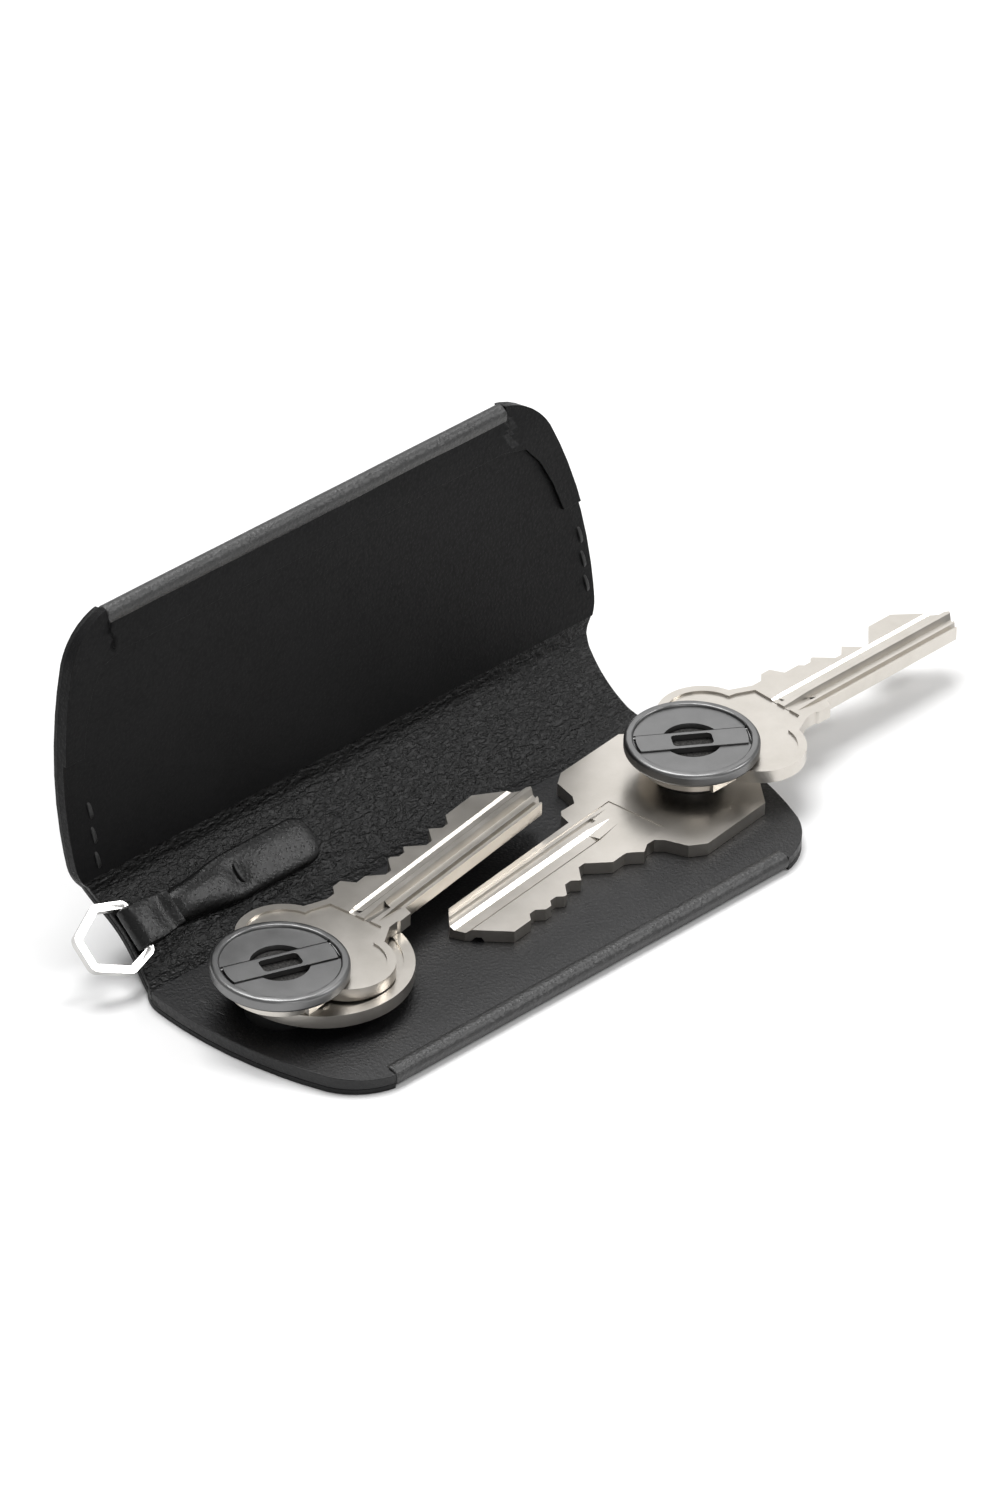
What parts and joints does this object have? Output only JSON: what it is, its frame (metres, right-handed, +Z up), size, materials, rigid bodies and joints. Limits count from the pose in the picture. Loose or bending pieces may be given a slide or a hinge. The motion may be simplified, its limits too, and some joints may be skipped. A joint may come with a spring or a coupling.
{
  "type": "key organiser",
  "caption": "Folding leather key cover, open: two screw posts with stacked keys, a magnetic rolled edge on each panel, and a spine tab with a D-ring.",
  "frame": {"origin": "on the underside of the base panel, midway between the two posts", "axes": "+X along the cover from the left post to the right post, +Y towards the spine, +Z up from the base panel"},
  "size_m": [0.1399, 0.0574, 0.0469],
  "materials": {
    "lining_leather": "smooth, fine grain, satin",
    "grained_leather": "pebbled grain, satin",
    "outer_leather": "smooth, fine grain",
    "board": "pressed fibre board",
    "foam": "dense foam",
    "thread": "waxed thread",
    "magnet": "plated",
    "ring_nickel": "polished nickel",
    "key_nickel": "brushed nickel silver",
    "gunmetal": "satin gunmetal plate",
    "post_steel": "turned steel",
    "spacer_acetal": "turned black acetal"
  },
  "bodies": {
    "cover_base": {"base_outer_leather": "outer_leather", "base_board": "board", "base_lining": "lining_leather", "base_edge_roll": "outer_leather", "base_magnet_strip": "magnet", "base_stitches": "thread", "left_post_anchor": "post_steel", "right_post_anchor": "post_steel", "left_spacer_washer": "spacer_acetal", "right_spacer_washer": "spacer_acetal"},
    "spine": {"spine_outer_leather": "grained_leather", "spine_lining": "grained_leather", "tab_strap": "grained_leather", "tab_core": "foam", "tab_loop": "grained_leather", "tab_stitch": "thread"},
    "lid": {"lid_outer_leather": "outer_leather", "lid_board": "board", "lid_lining": "lining_leather", "lid_edge_roll": "outer_leather", "lid_magnet_strip": "magnet", "lid_stitches": "thread"},
    "ring": {"d_ring": "ring_nickel"},
    "left_washer": {"left_clamp_washer": "post_steel"},
    "right_washer": {"right_clamp_washer": "post_steel"},
    "left_screw": {"left_head": "gunmetal", "left_head_stud": "post_steel", "left_grip_pins": "post_steel"},
    "right_screw": {"right_head": "gunmetal", "right_head_stud": "post_steel", "right_grip_pins": "post_steel"},
    "left_grip": {"left_grip_bar": "gunmetal"},
    "right_grip": {"right_grip_bar": "gunmetal"},
    "key_upper_left": {"upper_left_key": "key_nickel"},
    "key_lower_left": {"lower_left_key": "key_nickel"},
    "key_lower_right": {"lower_right_key": "key_nickel"},
    "key_upper_right": {"upper_right_key": "key_nickel"}
  },
  "joints": [
    {"name": "cover_fold", "type": "hinge", "parent": "cover_base", "child": "spine", "pos_m": [0, 0.0175, 0.0008], "axis": [1, 0, 0], "range_deg": [-39, 51.5]},
    {"name": "lid_fold", "type": "hinge", "parent": "spine", "child": "lid", "pos_m": [0, 0.02854, 0.00974], "axis": [1, 0, 0], "range_deg": [-39, 51.5]},
    {"name": "ring_swing", "type": "hinge", "parent": "spine", "child": "ring", "pos_m": [-0.04315, 0.02152, 0.00688], "axis": [0, -0.7771, -0.6293], "range_deg": [-150, 25]},
    {"name": "upper_left_key_swing", "type": "hinge", "parent": "cover_base", "child": "key_upper_left", "pos_m": [-0.0377, 0, 0.0074], "axis": [0, 0, 1], "range_deg": [-178, 0]},
    {"name": "lower_left_key_swing", "type": "hinge", "parent": "cover_base", "child": "key_lower_left", "pos_m": [-0.0377, 0, 0.00545], "axis": [0, 0, 1], "range_deg": [-171, 0]},
    {"name": "lower_right_key_swing", "type": "hinge", "parent": "cover_base", "child": "key_lower_right", "pos_m": [0.0377, 0, 0.0035], "axis": [0, 0, 1], "range_deg": [0, 173]},
    {"name": "upper_right_key_swing", "type": "hinge", "parent": "cover_base", "child": "key_upper_right", "pos_m": [0.0377, 0, 0.0074], "axis": [0, 0, 1], "range_deg": [-170, 0]},
    {"name": "left_washer_rise", "type": "slide", "parent": "cover_base", "child": "left_washer", "axis": [0, 0, 1], "range_m": [0, 0.0028]},
    {"name": "left_screw_turn", "type": "hinge", "parent": "left_washer", "child": "left_screw", "pos_m": [-0.0377, 0, 0.0094], "axis": [0, 0, -1], "range_deg": [-1440, 0]},
    {"name": "left_grip_flip", "type": "hinge", "parent": "left_screw", "child": "left_grip", "pos_m": [-0.03719, 0.00141, 0.00985], "axis": [0.9397, -0.342, 0], "range_deg": [-90, 0]},
    {"name": "right_washer_rise", "type": "slide", "parent": "cover_base", "child": "right_washer", "axis": [0, 0, 1], "range_m": [0, 0.0028]},
    {"name": "right_screw_turn", "type": "hinge", "parent": "right_washer", "child": "right_screw", "pos_m": [0.0377, 0, 0.0094], "axis": [0, 0, -1], "range_deg": [-1440, 0]},
    {"name": "right_grip_flip", "type": "hinge", "parent": "right_screw", "child": "right_grip", "pos_m": [0.03854, 0.00124, 0.00985], "axis": [0.829, -0.5592, 0], "range_deg": [-90, 0]}
  ],
  "couplings": [
    {"joint": "lid_fold", "follows": "cover_fold", "ratio": 1},
    {"joint": "left_washer_rise", "follows": "left_screw_turn", "m_per_rad": -0.00011141},
    {"joint": "right_washer_rise", "follows": "right_screw_turn", "m_per_rad": -0.00011141}
  ]
}
